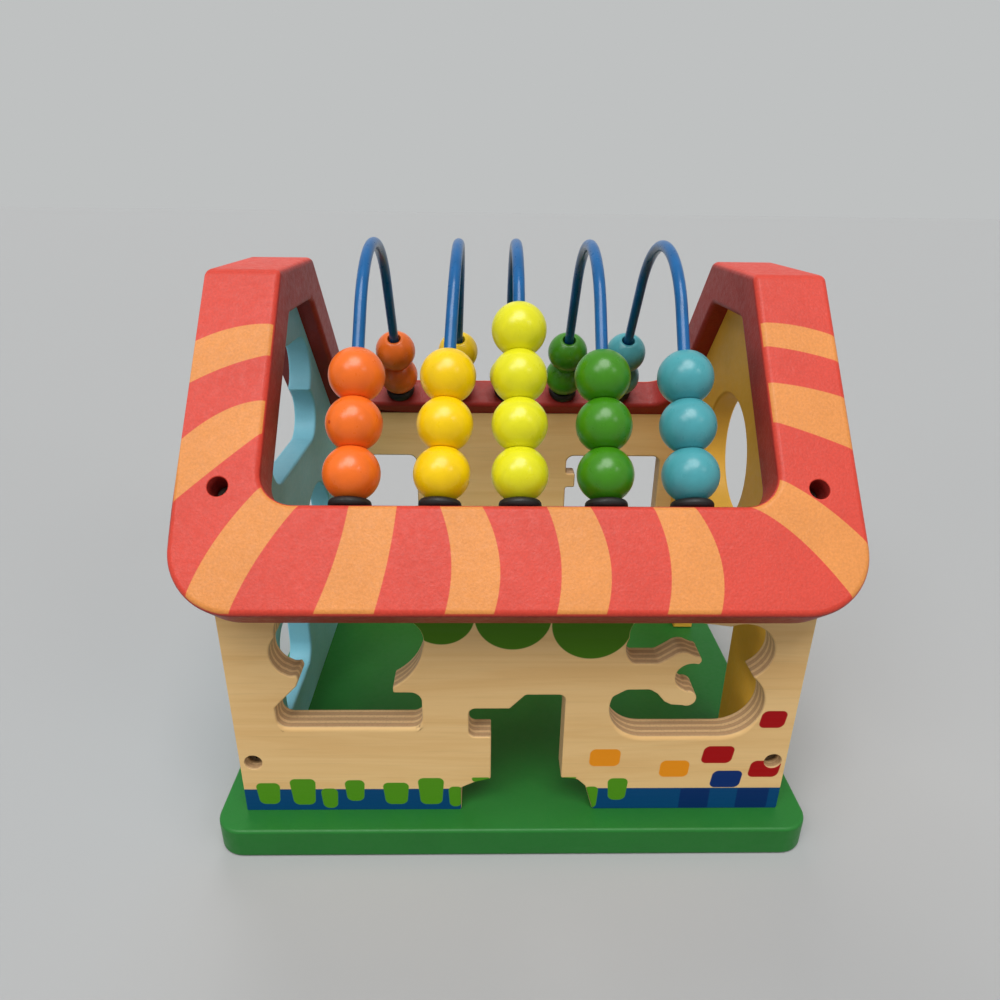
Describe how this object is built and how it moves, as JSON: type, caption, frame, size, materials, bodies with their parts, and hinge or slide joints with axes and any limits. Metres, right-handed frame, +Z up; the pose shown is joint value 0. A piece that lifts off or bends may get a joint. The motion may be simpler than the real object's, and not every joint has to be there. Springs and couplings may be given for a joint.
{
  "type": "activity cube",
  "caption": "Wooden activity house with number-shaped cut-outs in plywood walls and an open striped roof that carries sliding beads on arched wires.",
  "frame": {"origin": "centre of the base board's underside", "axes": "+Z up, the front wall with the doorway faces -Y, +X to the right when the front is looked at"},
  "size_m": [0.22, 0.208, 0.2106],
  "materials": {
    "base_paint": "satin green paint",
    "plywood": "clear matt lacquer, plies bare on the cut edges",
    "blue_paint": "satin light blue paint",
    "yellow_paint": "satin yellow paint",
    "roof_paint": "satin red paint with orange stripes",
    "wire_coating": "glossy blue coating",
    "rubber": "black",
    "orange_lacquer": "gloss lacquer",
    "yellow_lacquer": "gloss lacquer",
    "lime_lacquer": "gloss lacquer",
    "green_lacquer": "gloss lacquer",
    "teal_lacquer": "gloss lacquer",
    "screw_steel": "zinc plated",
    "dowel_wood": "bare beech"
  },
  "bodies": {
    "house": {"base_board": "base_paint", "front_wall": "plywood", "back_wall": "plywood", "left_wall": "blue_paint", "right_wall": "yellow_paint", "front_roof": "roof_paint", "back_roof": "roof_paint", "left_ridge": "roof_paint", "right_ridge": "roof_paint", "orange_wire": "wire_coating", "yellow_wire": "wire_coating", "lime_wire": "wire_coating", "green_wire": "wire_coating", "teal_wire": "wire_coating", "front_washers": "rubber", "back_washers": "rubber", "roof_screws": "screw_steel", "wall_screws": "screw_steel", "base_screws": "screw_steel", "ridge_dowels": "dowel_wood"},
    "orange_front_bead_1": {"orange_front_bead_1": "orange_lacquer"},
    "orange_front_bead_2": {"orange_front_bead_2": "orange_lacquer"},
    "orange_front_bead_3": {"orange_front_bead_3": "orange_lacquer"},
    "orange_back_bead_1": {"orange_back_bead_1": "orange_lacquer"},
    "orange_back_bead_2": {"orange_back_bead_2": "orange_lacquer"},
    "yellow_front_bead_1": {"yellow_front_bead_1": "yellow_lacquer"},
    "yellow_front_bead_2": {"yellow_front_bead_2": "yellow_lacquer"},
    "yellow_front_bead_3": {"yellow_front_bead_3": "yellow_lacquer"},
    "yellow_back_bead_1": {"yellow_back_bead_1": "yellow_lacquer"},
    "yellow_back_bead_2": {"yellow_back_bead_2": "yellow_lacquer"},
    "lime_front_bead_1": {"lime_front_bead_1": "lime_lacquer"},
    "lime_front_bead_2": {"lime_front_bead_2": "lime_lacquer"},
    "lime_front_bead_3": {"lime_front_bead_3": "lime_lacquer"},
    "lime_front_bead_4": {"lime_front_bead_4": "lime_lacquer"},
    "lime_back_bead_1": {"lime_back_bead_1": "lime_lacquer"},
    "green_front_bead_1": {"green_front_bead_1": "green_lacquer"},
    "green_front_bead_2": {"green_front_bead_2": "green_lacquer"},
    "green_front_bead_3": {"green_front_bead_3": "green_lacquer"},
    "green_back_bead_1": {"green_back_bead_1": "green_lacquer"},
    "green_back_bead_2": {"green_back_bead_2": "green_lacquer"},
    "teal_front_bead_1": {"teal_front_bead_1": "teal_lacquer"},
    "teal_front_bead_2": {"teal_front_bead_2": "teal_lacquer"},
    "teal_front_bead_3": {"teal_front_bead_3": "teal_lacquer"},
    "teal_back_bead_1": {"teal_back_bead_1": "teal_lacquer"},
    "teal_back_bead_2": {"teal_back_bead_2": "teal_lacquer"}
  },
  "joints": [
    {"name": "orange_front_slide_1", "type": "slide", "parent": "house", "child": "orange_front_bead_1", "axis": [0.0115, 0.5664, 0.824], "range_m": [0, 0.007]},
    {"name": "orange_front_slide_2", "type": "slide", "parent": "orange_front_bead_1", "child": "orange_front_bead_2", "axis": [0.0115, 0.5664, 0.824], "range_m": [0, 0.007]},
    {"name": "orange_front_slide_3", "type": "slide", "parent": "orange_front_bead_2", "child": "orange_front_bead_3", "axis": [0.0115, 0.5664, 0.824], "range_m": [0, 0.007]},
    {"name": "orange_back_slide_1", "type": "slide", "parent": "house", "child": "orange_back_bead_1", "axis": [0.0115, -0.5664, 0.824], "range_m": [0, 0.019]},
    {"name": "orange_back_slide_2", "type": "slide", "parent": "orange_back_bead_1", "child": "orange_back_bead_2", "axis": [0.0115, -0.5664, 0.824], "range_m": [0, 0.019]},
    {"name": "yellow_front_slide_1", "type": "slide", "parent": "house", "child": "yellow_front_bead_1", "axis": [0.046, 0.5664, 0.8228], "range_m": [0, 0.007]},
    {"name": "yellow_front_slide_2", "type": "slide", "parent": "yellow_front_bead_1", "child": "yellow_front_bead_2", "axis": [0.046, 0.5664, 0.8228], "range_m": [0, 0.007]},
    {"name": "yellow_front_slide_3", "type": "slide", "parent": "yellow_front_bead_2", "child": "yellow_front_bead_3", "axis": [0.046, 0.5664, 0.8228], "range_m": [0, 0.007]},
    {"name": "yellow_back_slide_1", "type": "slide", "parent": "house", "child": "yellow_back_bead_1", "axis": [0.046, -0.5664, 0.8228], "range_m": [0, 0.019]},
    {"name": "yellow_back_slide_2", "type": "slide", "parent": "yellow_back_bead_1", "child": "yellow_back_bead_2", "axis": [0.046, -0.5664, 0.8228], "range_m": [0, 0.019]},
    {"name": "lime_front_slide_1", "type": "slide", "parent": "house", "child": "lime_front_bead_1", "axis": [0, 0.5664, 0.8241], "range_m": [0, 0.001]},
    {"name": "lime_front_slide_2", "type": "slide", "parent": "lime_front_bead_1", "child": "lime_front_bead_2", "axis": [0, 0.5664, 0.8241], "range_m": [0, 0.001]},
    {"name": "lime_front_slide_3", "type": "slide", "parent": "lime_front_bead_2", "child": "lime_front_bead_3", "axis": [0, 0.5664, 0.8241], "range_m": [0, 0.001]},
    {"name": "lime_front_slide_4", "type": "slide", "parent": "lime_front_bead_3", "child": "lime_front_bead_4", "axis": [0, 0.5664, 0.8241], "range_m": [0, 0.001]},
    {"name": "lime_back_slide_1", "type": "slide", "parent": "house", "child": "lime_back_bead_1", "axis": [0, -0.5664, 0.8241], "range_m": [0, 0.055]},
    {"name": "green_front_slide_1", "type": "slide", "parent": "house", "child": "green_front_bead_1", "axis": [0, 0.5664, 0.8241], "range_m": [0, 0.007]},
    {"name": "green_front_slide_2", "type": "slide", "parent": "green_front_bead_1", "child": "green_front_bead_2", "axis": [0, 0.5664, 0.8241], "range_m": [0, 0.007]},
    {"name": "green_front_slide_3", "type": "slide", "parent": "green_front_bead_2", "child": "green_front_bead_3", "axis": [0, 0.5664, 0.8241], "range_m": [0, 0.007]},
    {"name": "green_back_slide_1", "type": "slide", "parent": "house", "child": "green_back_bead_1", "axis": [0, -0.5664, 0.8241], "range_m": [0, 0.019]},
    {"name": "green_back_slide_2", "type": "slide", "parent": "green_back_bead_1", "child": "green_back_bead_2", "axis": [0, -0.5664, 0.8241], "range_m": [0, 0.019]},
    {"name": "teal_front_slide_1", "type": "slide", "parent": "house", "child": "teal_front_bead_1", "axis": [0, 0.5664, 0.8241], "range_m": [0, 0.007]},
    {"name": "teal_front_slide_2", "type": "slide", "parent": "teal_front_bead_1", "child": "teal_front_bead_2", "axis": [0, 0.5664, 0.8241], "range_m": [0, 0.007]},
    {"name": "teal_front_slide_3", "type": "slide", "parent": "teal_front_bead_2", "child": "teal_front_bead_3", "axis": [0, 0.5664, 0.8241], "range_m": [0, 0.007]},
    {"name": "teal_back_slide_1", "type": "slide", "parent": "house", "child": "teal_back_bead_1", "axis": [0, -0.5664, 0.8241], "range_m": [0, 0.019]},
    {"name": "teal_back_slide_2", "type": "slide", "parent": "teal_back_bead_1", "child": "teal_back_bead_2", "axis": [0, -0.5664, 0.8241], "range_m": [0, 0.019]}
  ]
}
